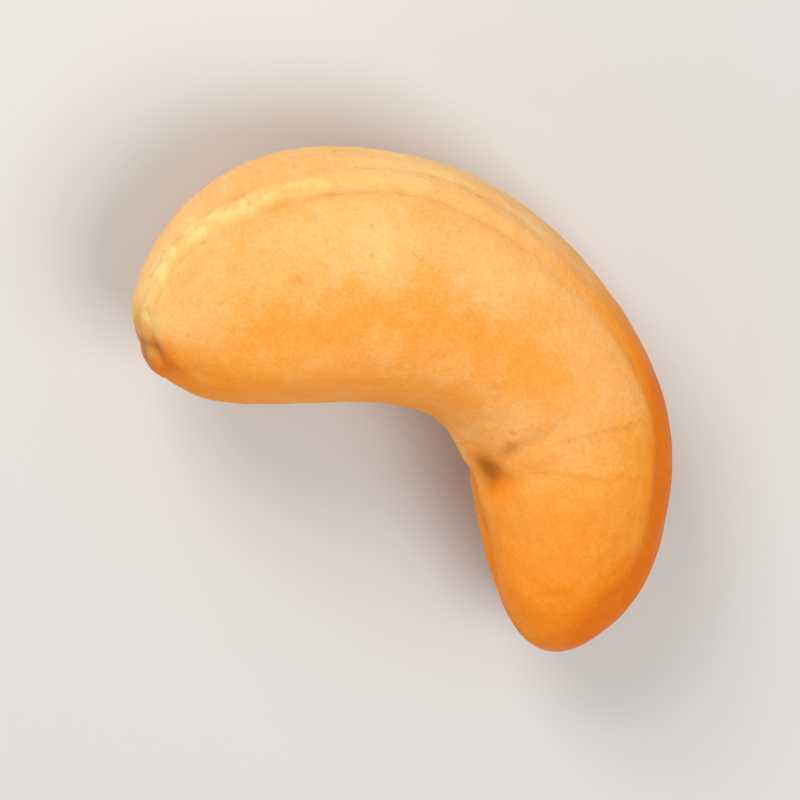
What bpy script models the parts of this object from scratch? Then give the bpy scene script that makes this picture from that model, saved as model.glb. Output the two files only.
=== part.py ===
"""A whole roasted cashew kernel, lying on one of its broad sides.

The kernel grew as one piece, so it is one closed solid. Its body is a row of rounded sections
carried along a plane curve, the spine, which runs from the thick end to the thin end and bends
between them. Low relief is then raised on that body along its surface normals: the seam band
that runs round the back between two grooves, the cleft on the hollow side, the radicle at the
thick end, a blunt ridge along the upper face, and the pinch, the knee and the crease where the
body bends. Three low swellings under the body end in small flat spots, on which the kernel
rests.

Sizes are in millimetres and angles in degrees until the mesh is written, in metres. A place on
the body is a station, from 0 at the thick tip to 1 at the thin tip, and an angle round the
section: 0 on the back, 90 on the upper face, 180 on the hollow side, -90 underneath.
"""

import math
from typing import NamedTuple

import bmesh
import bpy
import numpy as np
from mathutils import Vector

MM = 0.001
NAME = "cashew_kernel"

# The spine: its length, the way it starts out from +X, and how far and where it bends.
SPINE_LENGTH = 31.5
SPINE_START = 60.0
SPINE_TURN = 118.0
BEND_AT = 0.525
BEND_SPREAD = 0.30
SPINE_STEPS = 400


class Rib(NamedTuple):
    """The body's half sizes at one station, before its ends are rounded off."""

    station: float
    back: float
    hollow: float
    height: float


RIBS = (
    Rib(0.05, 4.42, 5.95, 5.1),
    Rib(0.25, 5.85, 4.58, 5.25),
    Rib(0.50, 4.75, 4.38, 4.8),
    Rib(0.75, 4.35, 4.17, 4.3),
    Rib(0.95, 4.20, 4.35, 3.9),
)
SECTION_POWER = 2.15

# The ends: the share of the spine that each takes, and how full it is (2 is elliptical).
THICK_END, THICK_END_POWER = 0.267, 2.12
THIN_END, THIN_END_POWER = 0.295, 1.92

# The seam band round the back: a raised strip between two grooves.
BAND_HEIGHT_THICK = 2.05
BAND_HEIGHT_THIN = 2.25
BAND_CLIMBS = (0.36, 0.68)
BAND_HALF_WIDTH = 0.66
BAND_TIP_SHARE = 0.65
BAND_TIP_LENGTH = 0.08
BAND_WANDER, BAND_WANDER_RATE, BAND_WANDER_PHASE = 0.14, 21.0, -2.4
BAND_DIP, BAND_DIP_AT, BAND_DIP_WIDTH = 0.70, 0.072, 0.045
GROOVE_DEPTH = 0.12
GROOVE_OUTER_SHARE = 0.5
GROOVE_WIDTH = 0.30
GROOVE_FADES = (0.40, 0.50)
GROOVE_THIN_SHARE = 0.45
STRIP_RISE, STRIP_SHARE = 0.07, 0.75
BAND_FADES = (0.5, 2.0)
BAND_TIP_WRAP = 2.8

# The cleft along the hollow side, and the lips beside it.
CLEFT_DEPTH = 0.75
CLEFT_WIDTH = 0.50
CLEFT_HEIGHT = 0.2
CLEFT_STARTS = (0.10, 0.34)
CLEFT_STOPS = (0.82, 0.97)
CLEFT_FACES = (0.05, 0.6)
LIP_RISE = 0.16
LIP_OFFSET = 1.5
LIP_WIDTH = 0.8

# The blunt ridge along the upper face of the thick lobe.
RIDGE_ANGLE = 70.0
RIDGE_RISE = 0.20
RIDGE_WIDTH = 1.5
RIDGE_STARTS = (0.02, 0.12)
RIDGE_STOPS = (0.34, 0.52)

# The crease across the thin lobe: deepest in the hollow, lost before it reaches the back.
CREASE_STATION_HOLLOW = 0.715
CREASE_STATION_FACE = 0.650
CREASE_DEPTH = 0.26
CREASE_WIDTH = 0.85
CREASE_REACH = (55.0, 178.0)


class Spot(NamedTuple):
    """A round dent or swelling: where it is, its radius, and its rise along the normal."""

    station: float
    angle: float
    radius: float
    rise: float


RADICLE = Spot(0.008, 142.0, 1.0, 0.30)
RADICLE_NOTCH = Spot(0.010, 106.0, 0.50, -0.15)
PINCH = Spot(0.674, 152.5, 0.82, -0.44)
KNEE = Spot(0.672, 165.0, 1.8, 0.40)
LOW_SWELLINGS = (
    Spot(0.17, -97.0, 2.5, 0.45),
    Spot(0.49, -74.0, 2.5, 0.48),
    Spot(0.80, -94.0, 2.5, 0.45),
)
FLAT_DEPTH = 0.07


class Wave(NamedTuple):
    """A slow wave through the body: its rise, its radians per millimetre each way, its phase."""

    rise: float
    rates: tuple[float, float, float]
    phase: float


# They keep the body from looking turned.
WAVES = (
    Wave(0.06, (0.50, 0.30, 0.20), 1.3),
    Wave(0.05, (-0.35, 0.62, 0.15), 0.4),
    Wave(0.04, (0.44, -0.25, 0.80), 2.0),
    Wave(0.03, (0.20, 0.75, -0.60), 4.1),
)

# The mesh: segments round the section and along the body, gathered towards the seam band.
SEGMENTS_ROUND = 80
SEGMENTS_ALONG = 60
GATHER = 0.25
GATHER_ANGLE = 20.0

# Steps for the slopes of the body, as a share of the spine and in degrees, and what is a tip.
STATION_STEP, ANGLE_STEP = 1e-3, 1.0
POLE = 1e-6
ROASTED = (0.94, 0.51, 0.17, 1.0)
ROASTED_ROUGHNESS = 0.45


def ramp(value: np.ndarray, limits: tuple[float, float]) -> np.ndarray:
    """Smooth step from 0 at the first limit to 1 at the second."""
    share = np.clip((value - limits[0]) / (limits[1] - limits[0]), 0.0, 1.0)
    return share * share * (3.0 - 2.0 * share)


def bell(distance: np.ndarray, width: float) -> np.ndarray:
    """Gaussian hump of height 1."""
    return np.exp(-((distance / width) ** 2))


def rounded_end(share: np.ndarray, power: float) -> np.ndarray:
    """Size factor along an end: 0 at the tip, 1 where the end meets the full section."""
    inward = 1.0 - np.clip(share, 0.0, 1.0)
    return (1.0 - inward**power) ** (1.0 / power)


def spine_at(station: np.ndarray) -> tuple[np.ndarray, np.ndarray, np.ndarray]:
    """Points, tangents and back-pointing normals of the spine.

    The heading turns with the hyperbolic tangent of the distance from the bend, and the
    points are the running sum of short steps along that heading.
    """
    steps = np.linspace(0.0, 1.0, SPINE_STEPS)
    turned = np.tanh((steps - BEND_AT) / BEND_SPREAD)
    turned = (turned - turned[0]) / (turned[-1] - turned[0])
    heading = np.radians(SPINE_START - SPINE_TURN * turned)
    step = SPINE_LENGTH / (SPINE_STEPS - 1)
    across = np.cumsum(np.cos(heading)) * step
    up = np.cumsum(np.sin(heading)) * step
    angle = np.interp(station, steps, heading)
    level = np.zeros_like(angle)
    points = np.stack([np.interp(station, steps, across), np.interp(station, steps, up), level], -1)
    tangents = np.stack([np.cos(angle), np.sin(angle), level], -1)
    backward = np.stack([-np.sin(angle), np.cos(angle), level], -1)
    return points, tangents, backward


def rib_size(station: np.ndarray, field: str) -> np.ndarray:
    """One half size along the body: the quartic through the five ribs."""
    stations = [rib.station for rib in RIBS]
    sizes = [getattr(rib, field) for rib in RIBS]
    return np.polyval(np.polyfit(stations, sizes, len(RIBS) - 1), station)


def body_at(station: np.ndarray, angle: np.ndarray) -> np.ndarray:
    """Points of the plain body: superellipse sections square to the spine."""
    points, _, backward = spine_at(station)
    ends = rounded_end(station / THICK_END, THICK_END_POWER)
    ends = ends * rounded_end((1.0 - station) / THIN_END, THIN_END_POWER)
    turn = np.radians(angle)
    sideways, upward = (
        np.sign(part) * np.abs(part) ** (2.0 / SECTION_POWER) for part in (np.cos(turn), np.sin(turn))
    )
    half = np.where(sideways > 0.0, rib_size(station, "back"), rib_size(station, "hollow"))
    points = points + backward * (half * sideways * ends)[..., None]
    points[..., 2] = rib_size(station, "height") * upward * ends
    return points


def normals_at(station: np.ndarray, angle: np.ndarray) -> np.ndarray:
    """Unit normals of the plain body, from differences along it and round it."""
    inner = np.clip(station, STATION_STEP, 1.0 - STATION_STEP)
    along = body_at(inner + STATION_STEP / 2, angle) - body_at(inner - STATION_STEP / 2, angle)
    around = body_at(inner, angle + ANGLE_STEP / 2) - body_at(inner, angle - ANGLE_STEP / 2)
    normal = np.cross(around, along)
    normal = normal / np.linalg.norm(normal, axis=-1, keepdims=True)
    tangent = spine_at(station)[1]
    normal = np.where((station < POLE)[..., None], -tangent, normal)
    return np.where((station > 1.0 - POLE)[..., None], tangent, normal)


def seam_band(station: np.ndarray, height: np.ndarray, facing: np.ndarray) -> np.ndarray:
    """Rise of the raised strip and its two grooves, at each point's height over the mid-plane."""
    tips = np.minimum(station, 1.0 - station)
    taper = BAND_TIP_SHARE + (1.0 - BAND_TIP_SHARE) * ramp(tips, (0.0, BAND_TIP_LENGTH))
    climb = (BAND_HEIGHT_THIN - BAND_HEIGHT_THICK) * ramp(station, BAND_CLIMBS)
    wander = BAND_WANDER * np.sin(BAND_WANDER_RATE * station + BAND_WANDER_PHASE)
    dip = BAND_DIP * bell(station - BAND_DIP_AT, BAND_DIP_WIDTH)
    middle = taper * (BAND_HEIGHT_THICK + climb + wander - dip)
    half = taper * BAND_HALF_WIDTH
    grooves = bell(height - middle - half, GROOVE_WIDTH)
    grooves = grooves + GROOVE_OUTER_SHARE * bell(height - middle + half, GROOVE_WIDTH)
    strength = 1.0 - (1.0 - GROOVE_THIN_SHARE) * ramp(station, GROOVE_FADES)
    strip = STRIP_RISE * bell((height - middle) / half, STRIP_SHARE)
    return facing * strength * (strip - GROOVE_DEPTH * grooves)


def cleft(station: np.ndarray, height: np.ndarray, facing: np.ndarray) -> np.ndarray:
    """Rise of the cleft on the hollow side and of the lips above and below it."""
    along = ramp(station, CLEFT_STARTS) * (1.0 - ramp(station, CLEFT_STOPS))
    away = np.abs(height - CLEFT_HEIGHT)
    lips = LIP_RISE * bell(away - LIP_OFFSET, LIP_WIDTH)
    return facing * along * (lips - CLEFT_DEPTH * bell(away, CLEFT_WIDTH))


def face_ridge(station: np.ndarray, angle: np.ndarray) -> np.ndarray:
    """Rise of the blunt ridge along the thick lobe's upper face."""
    along = ramp(station, RIDGE_STARTS) * (1.0 - ramp(station, RIDGE_STOPS))
    away = np.radians(angle - RIDGE_ANGLE) * rib_size(station, "height")
    return RIDGE_RISE * along * bell(away, RIDGE_WIDTH)


def crease(station: np.ndarray, angle: np.ndarray) -> np.ndarray:
    """Rise of the crease across the thin lobe, which leans over as it crosses the face."""
    reach = ramp(np.abs(angle), CREASE_REACH)
    middle = CREASE_STATION_FACE + (CREASE_STATION_HOLLOW - CREASE_STATION_FACE) * reach
    return -CREASE_DEPTH * reach * bell((station - middle) * SPINE_LENGTH, CREASE_WIDTH)


def spot_rise(points: np.ndarray, spot: Spot) -> np.ndarray:
    """Rise of a round dent or swelling, which fades with the distance from its centre."""
    centre = body_at(np.array([spot.station]), np.array([spot.angle]))
    return spot.rise * bell(np.linalg.norm(points - centre, axis=-1), spot.radius)


def waves(points: np.ndarray) -> np.ndarray:
    """Rise of the slow waves over the whole body."""
    return sum(wave.rise * np.sin(points @ np.array(wave.rates) + wave.phase) for wave in WAVES)


def surface_at(station: np.ndarray, angle: np.ndarray) -> np.ndarray:
    """Points of the finished surface: the body, raised along its normals by the relief."""
    points = body_at(station, angle)
    normals = normals_at(station, angle)
    middle, tangents, backward = spine_at(station)
    behind = ((points - middle) * backward).sum(-1)
    to_back = (normals * backward).sum(-1)
    to_tips = (normals * tangents).sum(-1) ** 2
    height = points[..., 2]
    rise = seam_band(station, height, ramp(behind + BAND_TIP_WRAP * to_tips, BAND_FADES))
    rise = rise + cleft(station, height, ramp(-to_back, CLEFT_FACES))
    rise = rise + face_ridge(station, angle) + crease(station, angle) + waves(points)
    for spot in (RADICLE, RADICLE_NOTCH, PINCH, KNEE, *LOW_SWELLINGS):
        rise = rise + spot_rise(points, spot)
    return points + normals * rise[..., None]


def swelling_tops() -> np.ndarray:
    """The surface points at the middles of the three low swellings."""
    stations = np.array([spot.station for spot in LOW_SWELLINGS])
    angles = np.array([spot.angle for spot in LOW_SWELLINGS])
    return surface_at(stations, angles)


def level_turn(feet: np.ndarray) -> np.ndarray:
    """The rotation that brings three points under the body to one height."""
    first, second, third = (Vector(foot) for foot in feet)
    upward = (second - first).cross(third - first)
    if upward.z < 0.0:
        upward.negate()
    return np.array(upward.rotation_difference(Vector((0.0, 0.0, 1.0))).to_matrix())


def kernel_mesh() -> bpy.types.Mesh:
    """A sphere whose poles are the two tips, reshaped to the kernel and set down on its flats."""
    shape = bmesh.new()
    bmesh.ops.create_uvsphere(shape, u_segments=SEGMENTS_ROUND, v_segments=SEGMENTS_ALONG, radius=1.0)
    ball = np.array([vertex.co for vertex in shape.verts])
    station = np.clip((1.0 + ball[:, 2]) / 2.0, 0.0, 1.0)
    turn = np.arctan2(ball[:, 1], ball[:, 0])
    turn = turn - GATHER * np.sin(2.0 * (turn - math.radians(GATHER_ANGLE)))
    angle = (np.degrees(turn) + 180.0) % 360.0 - 180.0
    feet = swelling_tops()
    level = level_turn(feet)
    ground = (feet @ level.T)[:, 2].mean() + FLAT_DEPTH
    points = surface_at(station, angle) @ level.T
    points[:, 2] = np.maximum(points[:, 2] - ground, 0.0)
    middle = (points.min(axis=0) + points.max(axis=0)) / 2.0
    points[:, :2] -= middle[:2]
    for vertex, point in zip(shape.verts, points * MM):
        vertex.co = point
    mesh = bpy.data.meshes.new(NAME)
    shape.to_mesh(mesh)
    shape.free()
    mesh.shade_smooth()
    return mesh


def roasted_material() -> bpy.types.Material:
    """The golden skinless surface of a roasted kernel."""
    material = bpy.data.materials.new("roasted_kernel")
    material.use_nodes = True
    shader = material.node_tree.nodes["Principled BSDF"]
    shader.inputs["Base Color"].default_value = ROASTED
    shader.inputs["Roughness"].default_value = ROASTED_ROUGHNESS
    shader.inputs["Metallic"].default_value = 0.0
    return material


def main() -> None:
    """Clear the scene and build the kernel."""
    for old in list(bpy.data.objects):
        bpy.data.objects.remove(old)
    mesh = kernel_mesh()
    mesh.materials.append(roasted_material())
    kernel = bpy.data.objects.new(NAME, mesh)
    bpy.context.scene.collection.objects.link(kernel)


main()
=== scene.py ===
"""Looks of one whole roasted cashew kernel, lying on a pale table.

The kernel is a single piece that stands for the plain solid of the part. Its surface follows the
same formulas as that solid, on a grid of stations along the spine and angles round it, and adds
what is too fine for the solid: the sharp floors of the seam grooves, hairline cracks, wrinkles,
streaks and pits. Masks from the same formulas tell the finish where the kernel is pale, toasted,
lined, stained or hazy, and they also carry painted light and shade: a painted highlight on the
pale rim, and painted shade on faces turned from the light, in grooves, cracks and pits, and at
the thick tip.

Lengths are in millimetres and angles in degrees until a mesh is written, in metres. A place on the
kernel is a station, from 0 at the thick tip to 1 at the thin tip, and an angle round the section:
0 on the back, 90 on the upper face, 180 on the hollow side, -90 underneath.
"""

import logging
import math
from dataclasses import dataclass
from enum import Enum
from typing import NamedTuple

import bpy
import numpy as np
from mathutils import Matrix, Vector

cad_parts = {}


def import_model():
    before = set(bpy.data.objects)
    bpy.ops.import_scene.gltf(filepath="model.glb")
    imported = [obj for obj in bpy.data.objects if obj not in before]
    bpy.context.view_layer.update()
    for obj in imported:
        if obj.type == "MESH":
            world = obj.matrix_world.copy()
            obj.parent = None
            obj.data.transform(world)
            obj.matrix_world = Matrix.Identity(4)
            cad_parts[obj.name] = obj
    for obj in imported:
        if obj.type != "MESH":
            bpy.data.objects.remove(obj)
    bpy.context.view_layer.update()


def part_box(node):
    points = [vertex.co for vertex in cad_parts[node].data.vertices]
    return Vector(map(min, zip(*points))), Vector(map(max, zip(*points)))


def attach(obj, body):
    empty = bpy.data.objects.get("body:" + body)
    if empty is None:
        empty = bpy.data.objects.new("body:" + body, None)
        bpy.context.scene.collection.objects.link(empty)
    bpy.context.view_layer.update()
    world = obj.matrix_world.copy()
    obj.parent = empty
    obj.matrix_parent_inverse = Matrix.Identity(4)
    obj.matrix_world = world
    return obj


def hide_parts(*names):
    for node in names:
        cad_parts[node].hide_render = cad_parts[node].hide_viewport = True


LOG = logging.getLogger("cashew")
MM = 0.001
NODE = "cashew_kernel"

Field = np.ndarray
Limits = tuple[float, float]
Colour = tuple[float, float, float]
Socket = bpy.types.NodeSocket


class Mask(Enum):
    """Point attributes that carry what the formulas know into the finish."""

    # Pale seam strip, partly a painted highlight along it.
    PALE_AND_HIGHLIGHT = "pale_rim_and_highlight"
    # Roasting tone, with painted shade on faces turned from the light and painted light on the
    # back.
    TOAST_AND_SHADE = "toast_and_shade"
    # Brown lines and specks, with painted shade in the groove floors, the cleft's seam and the
    # cracks.
    LINE_AND_SHADE = "seam_line_and_groove_shade"
    # Dark spots, with painted shadow along the thick tip.
    STAIN_AND_TIP_SHADE = "dark_stain_and_tip_shade"
    HAZE = "grey_haze"
    # Painted shade in the small pits, by their depth.
    PIT_SHADE = "pit_shade"


def ramp(value: Field, limits: Limits) -> Field:
    """Smooth step from 0 at the first limit to 1 at the second: t * t * (3 - 2 * t)."""
    share = np.clip((value - limits[0]) / (limits[1] - limits[0]), 0.0, 1.0)
    return share * share * (3.0 - 2.0 * share)


def bell(distance: Field, width: float) -> Field:
    """Gaussian hump of height 1, which falls to 1 / e at its width: exp(-(d / width) ** 2)."""
    return np.exp(-((distance / width) ** 2))


def between(value: Field, starts: Limits, stops: Limits) -> Field:
    """Share that rises from 0 to 1 over the first limits and falls to 0 over the others."""
    return ramp(value, starts) * (1.0 - ramp(value, stops))


def lerp(low: float, high: float, share: Field) -> Field:
    """Value that lies at a share of the way from low to high."""
    return low + (high - low) * share


class Change(NamedTuple):
    """A value that goes smoothly from one to another as a field passes two limits."""

    before: float
    after: float
    limits: Limits

    def at(self, field: Field) -> Field:
        """The value at each place, by the field there."""
        return lerp(self.before, self.after, ramp(field, self.limits))


def rounded(share: Field, power: float) -> Field:
    """Size along a rounded end, 0 at its tip: (1 - (1 - share) ** power) ** (1 / power)."""
    return (1.0 - (1.0 - np.clip(share, 0.0, 1.0)) ** power) ** (1.0 / power)


def spread(steps: Field, values: Field, shares: Field) -> Field:
    """Values at shares of the way through them, where each step between two has its length."""
    walked = np.concatenate([[0.0], np.cumsum(steps)])
    return np.interp(shares * walked[-1], walked, values)


def add_object(name: str, data: bpy.types.ID) -> bpy.types.Object:
    """Put a new object into the scene.

    Args:
        name: The object's name.
        data: Its mesh, camera or light.

    Returns:
        The object.
    """
    made = bpy.data.objects.new(name, data)
    bpy.context.scene.collection.objects.link(made)
    return made


@dataclass(frozen=True)
class Spine:
    """The plane curve that the body's sections stand on.

    Its heading turns with the hyperbolic tangent of the distance from the bend, and its points
    are the running sum of short steps along that heading.
    """

    length: float = 31.5
    start: float = 60.0
    turn: float = 118.0
    bend_at: float = 0.525
    bend_spread: float = 0.30
    steps: int = 400

    def at(self, station: Field) -> tuple[Field, Field, Field]:
        """Read the spine.

        Args:
            station: Places along the spine, from 0 to 1.

        Returns:
            Points, unit tangents and unit normals towards the back, each with a last axis of 3.
        """
        steps = np.linspace(0.0, 1.0, self.steps)
        turned = np.tanh((steps - self.bend_at) / self.bend_spread)
        turned = (turned - turned[0]) / (turned[-1] - turned[0])
        heading = np.radians(self.start - self.turn * turned)
        step = self.length / (self.steps - 1)
        across = np.interp(station, steps, np.cumsum(np.cos(heading)) * step)
        up = np.interp(station, steps, np.cumsum(np.sin(heading)) * step)
        angle = np.interp(station, steps, heading)
        level = np.zeros_like(angle)
        points = np.stack([across, up, level], -1)
        tangents = np.stack([np.cos(angle), np.sin(angle), level], -1)
        backward = np.stack([-np.sin(angle), np.cos(angle), level], -1)
        return points, tangents, backward


class Rib(NamedTuple):
    """The body's half sizes at one station, before its ends are rounded off."""

    station: float
    back: float
    hollow: float
    height: float


@dataclass(frozen=True)
class Site:
    """Places on the plain body, as fields of one shape.

    Attributes:
        body: The plain body.
        station: Place along the spine, from 0 to 1.
        angle: Place round the section, in degrees.
        points: Points of the plain body.
        normals: Unit normals there.
        along: Distance along the spine.
        behind: Distance behind the spine, towards the back.
        to_back: Share of the normal that points to the back.
        to_tips: Square of the share that points along the spine.
        girth: Share of the full section.
    """

    body: "Body"
    station: Field
    angle: Field
    points: Field
    normals: Field
    along: Field
    behind: Field
    to_back: Field
    to_tips: Field
    girth: Field

    @property
    def height(self) -> Field:
        """Height over the mid-plane of the kernel."""
        return self.points[..., 2]


@dataclass(frozen=True)
class Body:
    """The plain bent body: superellipse sections square to the spine, with rounded ends."""

    spine: Spine = Spine()
    ribs: tuple[Rib, ...] = (
        Rib(0.05, 4.42, 5.95, 5.1),
        Rib(0.25, 5.85, 4.58, 5.25),
        Rib(0.50, 4.75, 4.38, 4.8),
        Rib(0.75, 4.35, 4.17, 4.3),
        Rib(0.95, 4.20, 4.35, 3.9),
    )
    section_power: float = 2.15
    thick_end: float = 0.267
    thick_power: float = 2.12
    thin_end: float = 0.295
    thin_power: float = 1.92
    station_step: float = 1e-3
    angle_step: float = 1.0
    pole: float = 1e-6

    def half_size(self, station: Field, name: str) -> Field:
        """Half size of this name along the body: the quartic through the five ribs."""
        sizes = [(rib.station, getattr(rib, name)) for rib in self.ribs]
        return np.polyval(np.polyfit(*zip(*sizes), len(sizes) - 1), station)

    def girth(self, station: Field) -> Field:
        """Share of the full section, less along each of the two ends."""
        thin = rounded((1.0 - station) / self.thin_end, self.thin_power)
        return rounded(station / self.thick_end, self.thick_power) * thin

    def points(self, station: Field, angle: Field) -> Field:
        """Points of the plain body.

        Args:
            station: Places along the spine.
            angle: Places round the section.

        Returns:
            Points with a last axis of 3: cosine and sine of the angle, each raised to
            2 / section_power with its sign kept, times the half sizes.
        """
        points, _, backward = self.spine.at(station)
        turn = np.radians(angle)
        sideways, upward = (
            np.sign(part) * np.abs(part) ** (2.0 / self.section_power)
            for part in (np.cos(turn), np.sin(turn))
        )
        back, hollow = self.half_size(station, "back"), self.half_size(station, "hollow")
        reach = np.where(sideways > 0.0, back, hollow) * sideways * self.girth(station)
        points = points + backward * reach[..., None]
        points[..., 2] = self.half_size(station, "height") * upward * self.girth(station)
        return points

    def normals(self, station: Field, angle: Field) -> Field:
        """Unit normals, as the cross product of the differences round the body and along it.

        Args:
            station: Places along the spine.
            angle: Places round the section.

        Returns:
            Unit normals. At the two tips they are the spine's tangent.
        """
        half_step, half_turn = self.station_step / 2, self.angle_step / 2
        inner = np.clip(station, self.station_step, 1.0 - self.station_step)
        along = self.points(inner + half_step, angle) - self.points(inner - half_step, angle)
        around = self.points(inner, angle + half_turn) - self.points(inner, angle - half_turn)
        normal = np.cross(around, along)
        normal = normal / np.linalg.norm(normal, axis=-1, keepdims=True)
        tangent = self.spine.at(station)[1]
        normal = np.where((station < self.pole)[..., None], -tangent, normal)
        return np.where((station > 1.0 - self.pole)[..., None], tangent, normal)

    def site(self, station: Field, angle: Field) -> Site:
        """Everything that the reliefs and the masks read about these places.

        Args:
            station: Places along the spine.
            angle: Places round the section.

        Returns:
            The site.
        """
        points, normals = self.points(station, angle), self.normals(station, angle)
        middle, tangents, backward = self.spine.at(station)
        return Site(
            body=self,
            station=station,
            angle=angle,
            points=points,
            normals=normals,
            along=station * self.spine.length,
            behind=((points - middle) * backward).sum(-1),
            to_back=(normals * backward).sum(-1),
            to_tips=(normals * tangents).sum(-1) ** 2,
            girth=self.girth(station),
        )


@dataclass(frozen=True)
class Ripple:
    """A random field: the sum of plane waves with drawn directions, lengths and phases."""

    seed: int
    shortest: float
    longest: float
    count: int = 40
    height: float = 1.0

    def at(self, site: Site) -> Field:
        """Read the field.

        Args:
            site: The places.

        Returns:
            The field, with a mean of 0 and a spread of about its height.
        """
        rng = np.random.default_rng(self.seed)
        directions = rng.normal(size=(self.count, 3))
        directions = directions / np.linalg.norm(directions, axis=1, keepdims=True)
        lengths = self.shortest * (self.longest / self.shortest) ** rng.random(self.count)
        phases = rng.random(self.count) * math.tau
        turns = site.points @ (directions * (math.tau / lengths)[:, None]).T
        waves = np.sin(turns + phases)
        return self.height * (waves.sum(-1) * math.sqrt(2.0 / self.count))


@dataclass(frozen=True)
class Streaks:
    """Fine ribs that run lengthwise: sines of whole turns round the body, swept slowly along it."""

    seed: int
    turns: tuple[int, int]
    shortest: float
    longest: float
    height: float
    count: int = 24

    def at(self, site: Site) -> Field:
        """Read the streaks.

        Args:
            site: The places.

        Returns:
            A field with a spread of about its height, which fades out at the tips.
        """
        rng = np.random.default_rng(self.seed)
        turns = rng.integers(self.turns[0], self.turns[1], self.count)
        lengths = self.shortest * (self.longest / self.shortest) ** rng.random(self.count)
        slants = np.sign(rng.random(self.count) - 0.5) * math.tau / lengths
        phases = rng.random(self.count) * math.tau
        turn = np.radians(site.angle)[..., None] * turns
        waves = np.sin(turn + site.along[..., None] * slants + phases)
        return self.height * (site.girth * waves.sum(-1) * math.sqrt(2.0 / self.count))


@dataclass(frozen=True)
class Spot:
    """A round or oval spot: a swelling, a dent or a stain.

    Attributes:
        station: Where its middle is along the spine.
        angle: Where its middle is round the section.
        radius: Distance from the middle at which it has faded to 1 / e.
        strength: Its rise along the normals, or its share in a mask.
        stretch: How much longer it is one way.
        lean: The angle of that way from the spine's direction, towards larger angles.
    """

    station: float
    angle: float
    radius: float
    strength: float = 1.0
    stretch: float = 1.0
    lean: float = 0.0

    @property
    def middle(self) -> tuple[Field, Field]:
        """Station and angle of the middle, as fields of one place."""
        return np.array([self.station]), np.array([self.angle])

    def offset(self, site: Site) -> Field:
        """From the spot's middle, which lies on the plain body, to each place."""
        return site.points - site.body.points(*self.middle)

    def at(self, site: Site) -> Field:
        """Strength of the spot at each place, a bell of the distance from its middle.

        Args:
            site: The places.

        Returns:
            The strength, signed as the spot's own is.
        """
        offset = self.offset(site)
        squared = (offset**2).sum(-1)
        if self.stretch != 1.0:
            normal = site.body.normals(*self.middle)[0]
            tangent = site.body.spine.at(self.middle[0])[1][0]
            forward = tangent - normal * (normal @ tangent)
            forward = forward / np.linalg.norm(forward)
            sideways = np.cross(normal, forward)
            lean = math.radians(self.lean)
            axis = forward * math.cos(lean) - sideways * math.sin(lean)
            squared = squared - (1.0 - self.stretch**-2) * (offset @ axis) ** 2
        return self.strength * np.exp(-squared / self.radius**2)


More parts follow.
